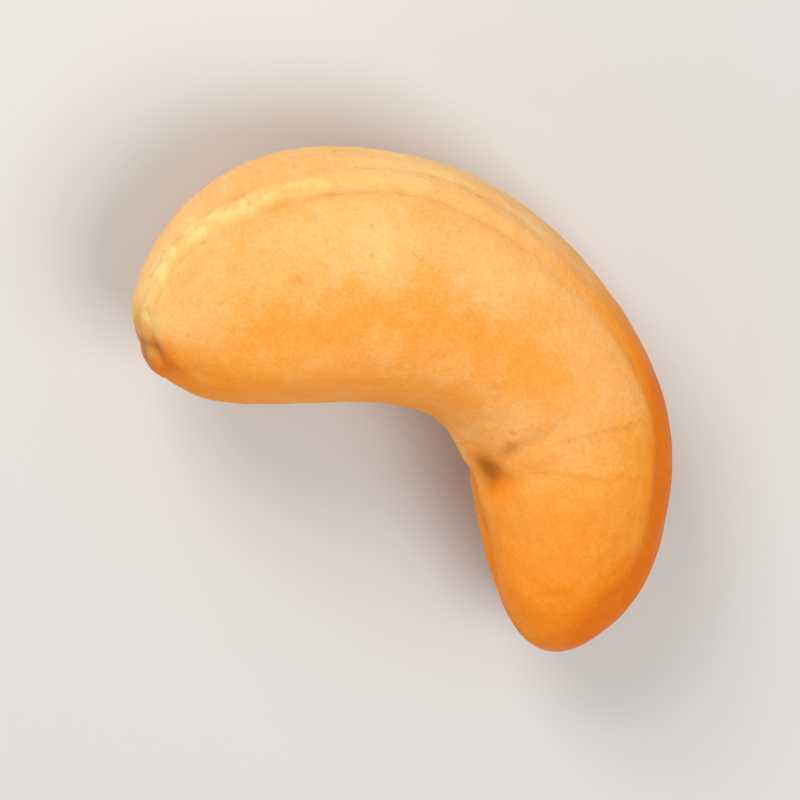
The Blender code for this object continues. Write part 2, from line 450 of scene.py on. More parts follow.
@dataclass(frozen=True)
class SeamBand:
    """The strip round the back, where the two halves of the kernel meet, between two grooves.

    The strip and its grooves keep to a height over the mid-plane and fade where the surface
    stops facing the back. The fine relief gives each groove a sharp, slightly ragged floor.
    """

    climb: Change = Change(2.05, 2.25, (0.36, 0.68))
    half: float = 0.66
    tips: Change = Change(0.65, 1.0, (0.0, 0.08))
    wander: float = 0.14
    wander_rate: float = 21.0
    wander_phase: float = -2.4
    dip: float = 0.70
    dip_station: float = 0.072
    dip_width: float = 0.045
    groove_depth: float = 0.12
    outer_share: float = 0.5
    groove_width: float = 0.30
    strength: Change = Change(1.0, 0.45, (0.40, 0.50))
    strip_rise: float = 0.07
    strip_share: float = 0.75
    fades: Limits = (0.5, 2.0)
    behind_limits: Limits = (-0.4, 2.8)
    tip_wrap: float = 2.8
    floor_depth: float = 0.045
    floor_width: float = 0.14
    floor_fades: Change = Change(1.0, 0.16, (0.30, 0.50))
    floor_returns: Change = Change(0.0, 0.40, (0.66, 0.74))
    floor_starts: Change = Change(0.40, 1.0, (0.06, 0.18))
    outer_floor: float = 0.25
    worn: Change = Change(0.35, 1.0, (-1.0, 0.8))
    pale_width: float = 0.46
    pale_narrows: Limits = (0.08, 0.15)
    pale_spread: float = 1.1
    ragged: Ripple = Ripple(seed=5, shortest=1.4, longest=5.0, count=24, height=0.035)
    nicks: Ripple = Ripple(seed=6, shortest=0.6, longest=2.4, count=32)

    def facing(self, site: Site) -> Field:
        """1 where the surface faces the back or wraps a tip, fading to 0 on the broad faces."""
        return ramp(site.behind + self.tip_wrap * site.to_tips, self.fades)

    def taper(self, site: Site) -> Field:
        """Share that is left of the strip's height and width, 1 except near the tips."""
        return self.tips.at(np.minimum(site.station, 1.0 - site.station))

    def middle(self, site: Site) -> Field:
        """Height of the middle of the strip.

        Args:
            site: The places.

        Returns:
            A height that climbs at the bend, wanders as a sine and dips by the thick tip.
        """
        wander = self.wander * np.sin(self.wander_rate * site.station + self.wander_phase)
        dip = self.dip * bell(site.station - self.dip_station, self.dip_width)
        return self.taper(site) * (self.climb.at(site.station) + wander - dip)

    def half_width(self, site: Site) -> Field:
        """Half the width of the strip."""
        return self.half * self.taper(site)

    def pair(self, site: Site, half: Field, width: float, outer: float) -> Field:
        """Two lines beside the strip, the inner one full and the outer one at a share of it."""
        off = site.height - self.middle(site)
        return bell(off - half, width) + outer * bell(off + half, width)

    def rise(self, site: Site) -> Field:
        """Rise of the strip and its two grooves, as on the plain solid.

        Args:
            site: The places.

        Returns:
            The rise along the normals, less past the bend.
        """
        half = self.half_width(site)
        grooves = self.pair(site, half, self.groove_width, self.outer_share)
        strip = self.strip_rise * bell((site.height - self.middle(site)) / half, self.strip_share)
        strength = self.facing(site) * self.strength.at(site.station)
        return strength * (strip - self.groove_depth * grooves)

    def floors(self, site: Site) -> Field:
        """Share of the sharp groove floors: two lines that wander, with nicks and gaps.

        Args:
            site: The places.

        Returns:
            1 on the floors, 0 beside them, and less where a floor is shallow.
        """
        half = self.half_width(site) + self.ragged.at(site)
        lines = self.pair(site, half, self.floor_width, self.outer_floor)
        worn = self.worn.at(self.nicks.at(site))
        fading = self.floor_fades.at(site.station) + self.floor_returns.at(site.station)
        return self.facing(site) * fading * self.floor_starts.at(site.station) * lines * worn

    def strip(self, site: Site) -> Field:
        """Share of the pale tint, partly a painted highlight: full along the middle of the strip,
        and wide at the thick tip.
        """
        wide = 1.0 + self.pale_spread * (1.0 - ramp(site.station, self.pale_narrows))
        return self.facing(site) * bell(site.height - self.middle(site), self.pale_width * wide)

    def under_groove(self, site: Site, limits: Limits) -> Field:
        """0 on the broad faces and 1 on the back, over distances inside the two grooves."""
        inward = self.middle(site) + self.half_width(site) - np.abs(site.height)
        return ramp(site.behind, self.behind_limits) * ramp(inward, limits)


@dataclass(frozen=True)
class Cleft:
    """The fold along the hollow side, with a lip above and below it."""

    depth: float = 0.75
    width: float = 0.50
    height: float = 0.2
    starts: Limits = (0.10, 0.34)
    stops: Limits = (0.82, 0.97)
    faces: Limits = (0.05, 0.6)
    lip_rise: float = 0.16
    lip_offset: float = 1.5
    lip_width: float = 0.8
    seam_depth: float = 0.16
    seam_width: float = 0.12
    ragged: Ripple = Ripple(seed=8, shortest=1.6, longest=5.0, count=20, height=0.10)

    def share(self, site: Site) -> Field:
        """How open the cleft is, along it and where the surface faces the hollow."""
        return ramp(-site.to_back, self.faces) * between(site.station, self.starts, self.stops)

    def lips(self, site: Site) -> Field:
        """Share of the two lips: 1 along their tops, fading up and down from them."""
        away = np.abs(site.height - self.height)
        return self.share(site) * bell(away - self.lip_offset, self.lip_width)

    def rise(self, site: Site) -> Field:
        """Rise of the cleft and of its lips, as on the plain solid."""
        floor = self.share(site) * bell(site.height - self.height, self.width)
        return self.lip_rise * self.lips(site) - self.depth * floor

    def seam(self, site: Site) -> Field:
        """Share of the sharp seam on the floor of the cleft, which wanders a little."""
        off = site.height - self.height - self.ragged.at(site)
        return self.share(site) * bell(off, self.seam_width)


@dataclass(frozen=True)
class FaceRidge:
    """The blunt ridge along the upper face of the thick lobe."""

    angle: float = 70.0
    height: float = 0.20
    width: float = 1.5
    starts: Limits = (0.02, 0.12)
    stops: Limits = (0.34, 0.52)

    def rise(self, site: Site) -> Field:
        """Rise of the ridge: a bell across it, full between its two ends."""
        away = np.radians(site.angle - self.angle) * site.body.half_size(site.station, "height")
        return self.height * between(site.station, self.starts, self.stops) * bell(away, self.width)


@dataclass(frozen=True)
class Crease:
    """The shallow crease across the thin lobe, deepest in the hollow."""

    station_hollow: float = 0.715
    station_face: float = 0.650
    depth: float = 0.26
    width: float = 0.85
    reach: Limits = (55.0, 178.0)

    def rise(self, site: Site) -> Field:
        """Rise of the crease, which leans over as it crosses the face.

        Args:
            site: The places.

        Returns:
            The rise along the normals.
        """
        reach = ramp(np.abs(site.angle), self.reach)
        off = site.station - lerp(self.station_face, self.station_hollow, reach)
        return -self.depth * reach * bell(off * site.body.spine.length, self.width)


@dataclass(frozen=True)
class Wave:
    """A slow wave through the body: its rise, its radians per millimetre and its phase."""

    height: float
    rates: tuple[float, float, float]
    phase: float

    def rise(self, site: Site) -> Field:
        """Rise of the wave: a sine of the position."""
        return self.height * np.sin(site.points @ np.array(self.rates) + self.phase)


@dataclass(frozen=True)
class Hairline:
    """A hairline crack across the body, between two places, with a slight wander."""

    start: tuple[float, float]
    end: tuple[float, float]
    depth: float = 0.028
    width: float = 0.13
    tint: float = 1.0
    opens: Limits = (0.0, 0.2)
    closes: Limits = (0.6, 1.0)
    ragged: Ripple = Ripple(seed=15, shortest=1.2, longest=4.0, count=24, height=0.08)

    def share(self, site: Site) -> Field:
        """Share of the crack at each place.

        Args:
            site: The places.

        Returns:
            1 on the crack's line, a bell across it, and 0 past its two ends.
        """
        turn = np.mod(site.angle, 360.0)
        share = (turn - self.start[1]) / (self.end[1] - self.start[1])
        off = site.station - lerp(self.start[0], self.end[0], share)
        across = off * site.body.spine.length - self.ragged.at(site)
        return between(share, self.opens, self.closes) * bell(across, self.width)


@dataclass(frozen=True)
class Pits:
    """Small pits or broad soft dents, sown at random places and turned at random."""

    seed: int
    count: int
    radius: Limits
    depth: Limits
    stretch: float
    reach: Limits = (0.02, 0.98)

    def sown(self) -> list[Spot]:
        """Draw one spot for each pit, with its depth as the strength."""
        draws = np.random.default_rng(self.seed).random((self.count, 6))
        return [
            Spot(
                station=lerp(*self.reach, station),
                angle=lerp(-180.0, 180.0, angle),
                radius=lerp(*self.radius, size**2),
                strength=lerp(*self.depth, depth),
                stretch=lerp(1.0, self.stretch, stretch),
                lean=180.0 * lean,
            )
            for station, angle, size, depth, stretch, lean in draws
        ]

    def depths(self, site: Site) -> Field:
        """Depth at each place, the sum over the pits."""
        return sum(spot.at(site) for spot in self.sown())


@dataclass(frozen=True)
class KernelForm:
    """The kernel as the plain solid has it: the body with its low relief."""

    body: Body = Body()
    band: SeamBand = SeamBand()
    cleft: Cleft = Cleft()
    ridge: FaceRidge = FaceRidge()
    crease: Crease = Crease()
    radicle: Spot = Spot(0.008, 142.0, 1.0, 0.30)
    notch: Spot = Spot(0.010, 106.0, 0.50, -0.15)
    pinch: Spot = Spot(0.674, 152.5, 0.82, -0.44)
    knee: Spot = Spot(0.672, 165.0, 1.8, 0.40)
    feet: tuple[Spot, ...] = (
        Spot(0.17, -97.0, 2.5, 0.45),
        Spot(0.49, -74.0, 2.5, 0.48),
        Spot(0.80, -94.0, 2.5, 0.45),
    )
    waves: tuple[Wave, ...] = (
        Wave(0.06, (0.50, 0.30, 0.20), 1.3),
        Wave(0.05, (-0.35, 0.62, 0.15), 0.4),
        Wave(0.04, (0.44, -0.25, 0.80), 2.0),
        Wave(0.03, (0.20, 0.75, -0.60), 4.1),
    )

    def rise(self, site: Site) -> Field:
        """Rise of all the low relief.

        Args:
            site: The places.

        Returns:
            The rise along the normals.
        """
        rise = self.band.rise(site) + self.cleft.rise(site)
        rise = rise + self.ridge.rise(site) + self.crease.rise(site)
        for wave in self.waves:
            rise = rise + wave.rise(site)
        for spot in (self.radicle, self.notch, self.pinch, self.knee, *self.feet):
            rise = rise + spot.at(site)
        return rise

    def foot_points(self) -> Field:
        """Find where the kernel rests.

        Returns:
            Surface points at the middles of the three low swellings.
        """
        places = np.array([(foot.station, foot.angle) for foot in self.feet])
        site = self.body.site(*places.T)
        return site.points + site.normals * self.rise(site)[:, None]


@dataclass(frozen=True)
class FineSkin:
    """The relief that is too fine for the plain solid."""

    wrinkles: Ripple = Ripple(seed=21, shortest=0.9, longest=2.4, count=48, height=0.007)
    folds: Ripple = Ripple(seed=22, shortest=1.8, longest=5.0, count=32)
    fold_height: float = 0.013
    grain: Ripple = Ripple(seed=23, shortest=0.45, longest=0.9, count=64, height=0.0035)
    streaks: Streaks = Streaks(24, turns=(14, 52), shortest=8.0, longest=60.0, height=0.006)
    pits: Pits = Pits(seed=31, count=90, radius=(0.12, 0.34), depth=(0.02, 0.06), stretch=2.2)
    dents: Pits = Pits(seed=32, count=26, radius=(0.9, 2.0), depth=(0.02, 0.06), stretch=1.8)
    hairlines: tuple[Hairline, ...] = (
        Hairline((0.628, 106.0), (0.672, 40.0)),
        Hairline((0.674, 126.0), (0.710, 66.0), depth=0.02),
        Hairline((0.640, 134.0), (0.600, 76.0), depth=0.10, width=0.48, tint=0.40),
        Hairline((0.545, 222.0), (0.560, 150.0), depth=0.04),
        Hairline((0.600, 140.0), (0.578, 212.0), depth=0.035),
        Hairline((0.690, 160.0), (0.716, 226.0), depth=0.035),
        Hairline((0.300, 205.0), (0.322, 248.0), depth=0.03),
    )
    ring_radius: float = 0.98
    ring_width: float = 0.13
    ring_depth: float = 0.07
    ring_fades: Limits = (0.25, 0.8)

    def ring(self, site: Site, form: KernelForm) -> Field:
        """Share of the crack round the radicle, which fades out on the side of the hollow."""
        away = np.linalg.norm(form.radicle.offset(site), axis=-1) - self.ring_radius
        return (1.0 - ramp(-site.to_back, self.ring_fades)) * bell(away, self.ring_width)

    def cracks(self, site: Site) -> Field:
        """Share of the hairline cracks together."""
        return sum(line.tint * line.share(site) for line in self.hairlines)

    def rise(self, site: Site, form: KernelForm) -> Field:
        """Rise of the fine relief.

        Args:
            site: The places.
            form: The kernel's form, whose seam, cleft and radicle it follows.

        Returns:
            The rise along the normals.
        """
        folds = self.fold_height * np.sqrt(np.abs(self.folds.at(site)))
        rise = self.wrinkles.at(site) + folds + self.grain.at(site)
        rise = rise + self.streaks.at(site)
        rise = rise - self.pits.depths(site) - self.dents.depths(site)
        for line in self.hairlines:
            rise = rise - line.depth * line.share(site)
        rise = rise - self.ring_depth * self.ring(site, form)
        rise = rise - form.band.floor_depth * form.band.floors(site)
        return rise - form.cleft.seam_depth * form.cleft.seam(site)


@dataclass(frozen=True)
class ToastingAndShading:
    """Where roasting has left the kernel pale, golden, orange, stained or hazy, with painted light
    and shade laid into the same masks.
    """

    ground: float = 0.24
    cloud: Ripple = Ripple(seed=41, shortest=5.0, longest=14.0, count=20, height=0.035)
    patches: Ripple = Ripple(seed=42, shortest=1.4, longest=4.0, count=36, height=0.018)
    band_angle: float = 86.0
    band_width: float = 16.0
    band_starts: Limits = (0.04, 0.22)
    band_stops: Limits = (0.46, 0.60)
    band_share: float = 0.20
    under_angles: Limits = (80.0, 128.0)
    under_share: float = 0.27
    back_reach: Limits = (0.2, 1.4)
    back_share: float = 0.09
    thin_lobe: Change = Change(0.0, 0.44, (0.52, 0.90))
    edge_reach: Limits = (-0.58, 0.42)
    edge_starts: Limits = (0.44, 0.70)
    edge_shade_share: float = 0.64
    edge_fades: Limits = (1.0, 3.6)
    edge_loss: float = 0.6
    wash_reach: Limits = (-0.10, 0.50)
    wash_starts: Limits = (0.16, 0.28)
    wash_fades: Limits = (0.34, 0.46)
    wash_share: float = 0.32
    spots: tuple[Spot, ...] = (
        Spot(0.985, 80.0, 3.6, 0.11),
        Spot(0.905, 58.0, 1.3, 0.14, 2.0),
        Spot(0.834, 46.0, 1.3, -0.30, 1.6),
        # This spot on the thin lobe's back edge is painted shade.
        Spot(0.728, 43.0, 0.75, 0.26, 2.6),
        Spot(0.055, 112.0, 2.4, 0.16),
        Spot(0.02, 190.0, 3.0, 0.20),
        Spot(0.30, 76.0, 3.0, 0.04, 1.6),
        Spot(0.353, 112.0, 1.8, -0.11, 1.7),
        Spot(0.53, 84.0, 2.8, 0.10),
        Spot(0.674, 148.0, 0.85, 0.44, 1.3),
        # This spot at the thick tip is painted shadow.
        Spot(0.010, 112.0, 1.10, 0.62, 1.2),
        Spot(0.45, -120.0, 4.5, 0.14, 1.5),
        Spot(0.66, -60.0, 3.0, 0.12),
    )
    pale_fades: Limits = (0.10, 0.42)
    pale_speckle: Change = Change(0.5, 1.0, (-0.4, 1.2))
    worn: Spot = Spot(0.165, 14.0, 0.55, 0.70, 1.8)
    stains_and_tip_shade: tuple[Spot, ...] = (
        Spot(0.676, 152.5, 0.44, 1.00, 1.6, 10.0),
        Spot(0.648, 145.0, 0.70, 0.36, 1.5, 20.0),
        Spot(0.622, 126.5, 0.32, 0.52, 1.8, 60.0),
        # The spots at the thick tip are partly a brown mark at the notch and partly painted shadow
        # along the tip.
        Spot(0.016, 104.0, 0.36, 0.74, 1.4, 20.0),
        Spot(0.005, 126.0, 0.44, 0.62, 1.5, 40.0),
        Spot(0.028, 115.0, 0.30, 0.36, 1.8),
        Spot(0.004, 84.0, 0.75, 0.50, 1.7, 90.0),
        Spot(0.36, 196.0, 0.5, 0.5, 2.0),
    )
    specks: tuple[Spot, ...] = (
        Spot(0.201, 69.0, 0.24, 1.00, 1.4, 70.0),
        Spot(0.212, 71.5, 0.16, 0.60),
        Spot(0.079, 17.0, 0.24, 0.60),
        Spot(0.119, 16.0, 0.26, 0.55, 1.6),
        Spot(0.150, 18.0, 0.22, 0.40, 2.2),
    )
    # The tints of the cracks and of the ring round the radicle are painted shade in them.
    crack_tint: float = 0.7
    ring_tint: float = 0.3
    haze: Spot = Spot(0.565, 112.0, 2.3, 0.80)
    haze_speckle: Change = Change(0.2, 1.0, (-0.4, 1.2))
    speckle: Ripple = Ripple(seed=43, shortest=0.5, longest=1.5, count=48)

    def toast_and_shade(self, site: Site, form: KernelForm) -> Field:
        """How far each place is toasted, with painted shade and light laid in.

        Args:
            site: The places.
            form: The kernel's form.

        Returns:
            The ground tone with its clouds, bands, edge and spots, not yet held within 0 and 1.
            The bands, the edge and two spots are painted shade, and the paler back is painted
            light.
        """
        band, turned = form.band, np.abs(site.angle)
        thick = 1.0 - ramp(site.station, self.band_stops)
        across = bell(turned - self.band_angle, self.band_width)
        toast_and_shade = self.ground + self.cloud.at(site) + self.patches.at(site)
        # The band across the upper face on the hollow side of the face ridge, and the rise towards
        # the hollow side, are painted shade on faces turned from the light; the lower value on the
        # back under the grooves is painted light.
        toast_and_shade = toast_and_shade + self.band_share * (ramp(site.station, self.band_starts) * thick * across)
        toast_and_shade = toast_and_shade + self.under_share * thick * ramp(turned, self.under_angles)
        toast_and_shade = toast_and_shade - self.back_share * thick * band.under_groove(site, self.back_reach)
        toast_and_shade = toast_and_shade + self.thin_lobe.at(site.station)
        # Painted shade along the thin lobe's back, just inside the groove.
        edge_shade = ramp(site.station, self.edge_starts) * band.under_groove(site, self.edge_reach)
        edge_shade = edge_shade * (1.0 - self.edge_loss * band.under_groove(site, self.edge_fades))
        toast_and_shade = toast_and_shade + self.edge_shade_share * edge_shade
        for spot in self.spots:
            toast_and_shade = toast_and_shade + spot.at(site)
        return toast_and_shade

    def pale(self, site: Site, form: KernelForm) -> Field:
        """Share of the pale tint, which is partly a painted highlight.

        Args:
            site: The places.
            form: The kernel's form.

        Returns:
            The strip on the thick lobe, but for a worn place, and a thin wash beside it.
        """
        strip = form.band.strip(site)
        rim = (1.0 - ramp(site.station, self.pale_fades)) * (1.0 - self.worn.at(site))
        wash = self.wash_share * between(site.station, self.wash_starts, self.wash_fades)
        wash = wash * form.band.under_groove(site, self.wash_reach)
        return strip * rim + wash * (1.0 - strip)

    def lines(self, site: Site, form: KernelForm, skin: FineSkin) -> Field:
        """Share of the brown lines and specks, with painted shade in the groove floors, the cleft's
        seam, the cracks and the ring.

        Args:
            site: The places.
            form: The kernel's form.
            skin: The fine relief with its cracks.

        Returns:
            The sum of the lines, not yet held within 0 and 1.
        """
        lines = form.band.floors(site) + form.cleft.seam(site)
        lines = lines + self.crack_tint * skin.cracks(site) + self.ring_tint * skin.ring(site, form)
        return lines + sum(speck.at(site) for speck in self.specks)

    def masks(self, site: Site, form: KernelForm, skin: FineSkin) -> dict[Mask, Field]:
        """Work out every mask.

        Args:
            site: The places.
            form: The kernel's form.
            skin: The fine relief, whose lines and pits are tinted too.

        Returns:
            One field for each mask, from 0 to 1.
        """
        speckle = self.speckle.at(site)
        found = {
            Mask.PALE_AND_HIGHLIGHT: self.pale(site, form) * self.pale_speckle.at(speckle),
            Mask.TOAST_AND_SHADE: self.toast_and_shade(site, form),
            Mask.LINE_AND_SHADE: self.lines(site, form, skin),
            Mask.STAIN_AND_TIP_SHADE: sum(stain.at(site) for stain in self.stains_and_tip_shade),
            Mask.HAZE: self.haze.at(site) * self.haze_speckle.at(speckle),
            Mask.PIT_SHADE: skin.pits.depths(site) / skin.pits.depth[1],
        }
        return {mask: np.clip(values, 0.0, 1.0) for mask, values in found.items()}


class Gather(NamedTuple):
    """A place round the section where the grid's columns stand closer together."""

    angle: float
    width: float
    share: float


@dataclass(frozen=True)
class Grid:
    """Rings along the kernel and columns round it, with a pole at each tip."""

    rings: int = 318
    columns: int = 312
    gathers: tuple[Gather, ...] = (Gather(27.0, 24.0, 1.3), Gather(180.0, 10.0, 1.0))
    profile_steps: int = 2000
    profile_angles: tuple[float, ...] = (-135.0, -90.0, -45.0, 0.0, 45.0, 90.0, 135.0, 180.0)

    def stations(self, body: Body) -> Field:
        """Stations of the rings, at even distances over the surface from tip to tip.

        Args:
            body: The plain body, whose lengthwise profiles are measured and averaged.

        Returns:
            One station for each ring, without the two tips.
        """
        swing = np.linspace(0.0, math.pi, self.profile_steps)
        station = (1.0 - np.cos(swing)) / 2.0
        length = np.zeros(self.profile_steps - 1)
        for angle in self.profile_angles:
            points = body.points(station, np.full_like(station, angle))
            length = length + np.linalg.norm(np.diff(points, axis=0), axis=1)
        return spread(length, station, np.arange(1, self.rings + 1) / (self.rings + 1))

    def angles(self) -> Field:
        """Angles of the columns.

        Returns:
            One angle for each column, from -180 up, closer together at the gathers.
        """
        turn = np.linspace(-180.0, 180.0, self.profile_steps)
        density = np.ones_like(turn)
        for gather in self.gathers:
            away = (turn - gather.angle + 180.0) % 360.0 - 180.0
            density = density + gather.share * bell(away, gather.width)
        steps = (density[1:] + density[:-1]) / 2.0
        return spread(steps, turn, np.arange(self.columns) / self.columns)

    def places(self, body: Body) -> tuple[Field, Field]:
        """Station and angle of every vertex: the rings in order, then the two poles."""
        station, angle = np.meshgrid(self.stations(body), self.angles(), indexing="ij")
        return np.append(station, [0.0, 1.0]), np.append(angle, [0.0, 0.0])

    def corners(self, rows: Field, poles: list[Field]) -> tuple[Field, Field]:
        """Read a value at every face corner: the quads between the rings, then the two fans.

        Args:
            rows: The value at each ring and column, with one more column to close the rings.
            poles: The value at each tip, for every column.

        Returns:
            Values with an axis of 4 for the quads, and values with an axis of 3 for the fans.
        """
        quads = np.stack([rows[:-1, :-1], rows[:-1, 1:], rows[1:, 1:], rows[1:, :-1]], 2)
        start = np.stack([rows[0, 1:], rows[0, :-1], poles[0]], 1)
        end = np.stack([rows[-1, :-1], rows[-1, 1:], poles[1]], 1)
        return quads.reshape(-1, 4, *rows.shape[2:]), np.concatenate([start, end])

    def faces(self) -> tuple[Field, Field]:
        """Number the vertices of every face.

        Returns:
            The corners of the quads and of the fans that close the tips.
        """
        ring, column = np.indices((self.rings, self.columns + 1))
        poles = [np.full(self.columns, self.rings * self.columns + tip) for tip in (0, 1)]
        return self.corners(ring * self.columns + column % self.columns, poles)

    def unwrapped(self) -> Field:
        """Flat coordinates of every face corner, in the order of the faces.

        Returns:
            Pairs: the share of the way along the kernel and the share of the way round it.
        """
        ring, column = np.indices((self.rings, self.columns + 1))
        flat = np.stack([(ring + 1) / (self.rings + 1), column / self.columns], -1)
        middles = (np.arange(self.columns) + 0.5) / self.columns
        poles = [np.stack([np.full(self.columns, tip), middles], -1) for tip in (0.0, 1.0)]
        return np.concatenate([part.reshape(-1, 2) for part in self.corners(flat, poles)])


class Noise(NamedTuple):
    """Fractal noise: the size of its largest features in millimetres, and its finer layers."""

    size: float
    detail: float
    rough: float


class Relief(NamedTuple):
    """A bump: its noise, what a height of 1 stands for in millimetres, and its strength."""

    noise: Noise
    depth: float
    strength: float


class Layer(NamedTuple):
    """A colour that a mask lays over the others, up to a share."""

    mask: Mask
    share: float
    colour: Colour


class NodeWriter:
    """Adds nodes to one material and links them."""

    # A mix of colours goes by the numbers of its sockets, because other mixes share their names.
    under: int = 6
    over: int = 7
    mixed: int = 2

    def __init__(self, name: str) -> None:
        """Start a material with a Principled shader.

        Args:
            name: The material's name.
        """
        self.material = bpy.data.materials.new(name)
        self.material.use_nodes = True
        self.tree = self.material.node_tree
        self.shader = self.tree.nodes["Principled BSDF"]

    def fill(self, node: bpy.types.Node, inputs: dict[str | int, object]) -> None:
        """Link a node's sockets, or set their values.

        Args:
            node: The node.
            inputs: An output, a value or a colour for each socket, by its name or number.
        """
        for name, value in inputs.items():
            socket = node.inputs[name]
            if isinstance(value, Socket):
                self.tree.links.new(value, socket)
            else:
                socket.default_value = (*value, 1.0) if socket.type == "RGBA" else value

    def add(
        self, kind: str, inputs: dict[str | int, object], output: str | int, **settings: str
    ) -> Socket:
        """Add a node.

        Args:
            kind: Its type, without the word ShaderNode before it.
            inputs: What goes into its sockets, by their names or numbers.
            output: Name or number of the output that is wanted.
            settings: The node's own properties.

        Returns:
            The output.
        """
        node = self.tree.nodes.new("ShaderNode" + kind)
        for name, setting in settings.items():
            setattr(node, name, setting)
        self.fill(node, inputs)
        return node.outputs[output]

    def mask(self, mask: Mask) -> Socket:
        """Output that reads a mask from the mesh."""
        return self.add("Attribute", {}, "Fac", attribute_name=mask.value)

    def place(self) -> Socket:
        """Output of the piece's own coordinates, in metres."""
        return self.add("TexCoord", {}, "Object")

    def noise(self, place: Socket, noise: Noise) -> Socket:
        """Output of a fractal noise over the coordinates, from 0 to 1 with a mean of 0.5."""
        sizes = {"Scale": 1.0 / (noise.size * MM), "Detail": noise.detail, "Roughness": noise.rough}
        return self.add("TexNoise", {"Vector": place, **sizes}, "Fac")

    def math(self, operation: str, first: object, second: object) -> Socket:
        """Output of one step of arithmetic on two values or outputs."""
        return self.add("Math", {0: first, 1: second}, 0, operation=operation)

    def remap(self, value: Socket, source: Limits, target: Limits) -> Socket:
        """Output of a value brought from one range to another and held inside it."""
        names = ("Value", "From Min", "From Max", "To Min", "To Max")
        return self.add("MapRange", dict(zip(names, (value, *source, *target))), "Result")

    def mix(self, share: Socket, first: Socket, second: Colour) -> Socket:
        """Output of the first colour with this share of the second over it."""
        inputs = {"Factor": share, self.under: first, self.over: second}
        return self.add("Mix", inputs, self.mixed, data_type="RGBA")

    def lay(self, colour: Socket, layer: Layer) -> Socket:
        """Output of a colour with a layer over it."""
        share = self.math("MULTIPLY", self.mask(layer.mask), layer.share)
        return self.mix(share, colour, layer.colour)

    def colours(self, value: Socket, stops: tuple[tuple[float, Colour], ...]) -> Socket:
        """Turn a value into a colour.

        Args:
            value: Output of the value.
            stops: Values in rising order, each with its colour.

        Returns:
            Output of the colour, which changes evenly from stop to stop.
        """
        output = self.add("ValToRGB", {"Fac": value}, "Color")
        elements = output.node.color_ramp.elements
        elements[0].position, elements[-1].position = stops[0][0], stops[-1][0]
        for position, _ in stops[1:-1]:
            elements.new(position)
        for element, (_, colour) in zip(elements, stops):
            element.color = (*colour, 1.0)
        return output

    def bump(self, place: Socket, relief: Relief, under: Socket | None) -> Socket:
        """Tilt the normals by a noise.

        Args:
            place: Output of the coordinates that the noise reads.
            relief: The noise and its depth.
            under: Output of normals that are already tilted, if any.

        Returns:
            Output of the tilted normals.
        """
        inputs = {"Height": self.noise(place, relief.noise), "Distance": relief.depth * MM}
        inputs["Strength"] = relief.strength
        if under is not None:
            inputs["Normal"] = under
        return self.add("Bump", inputs, "Normal")


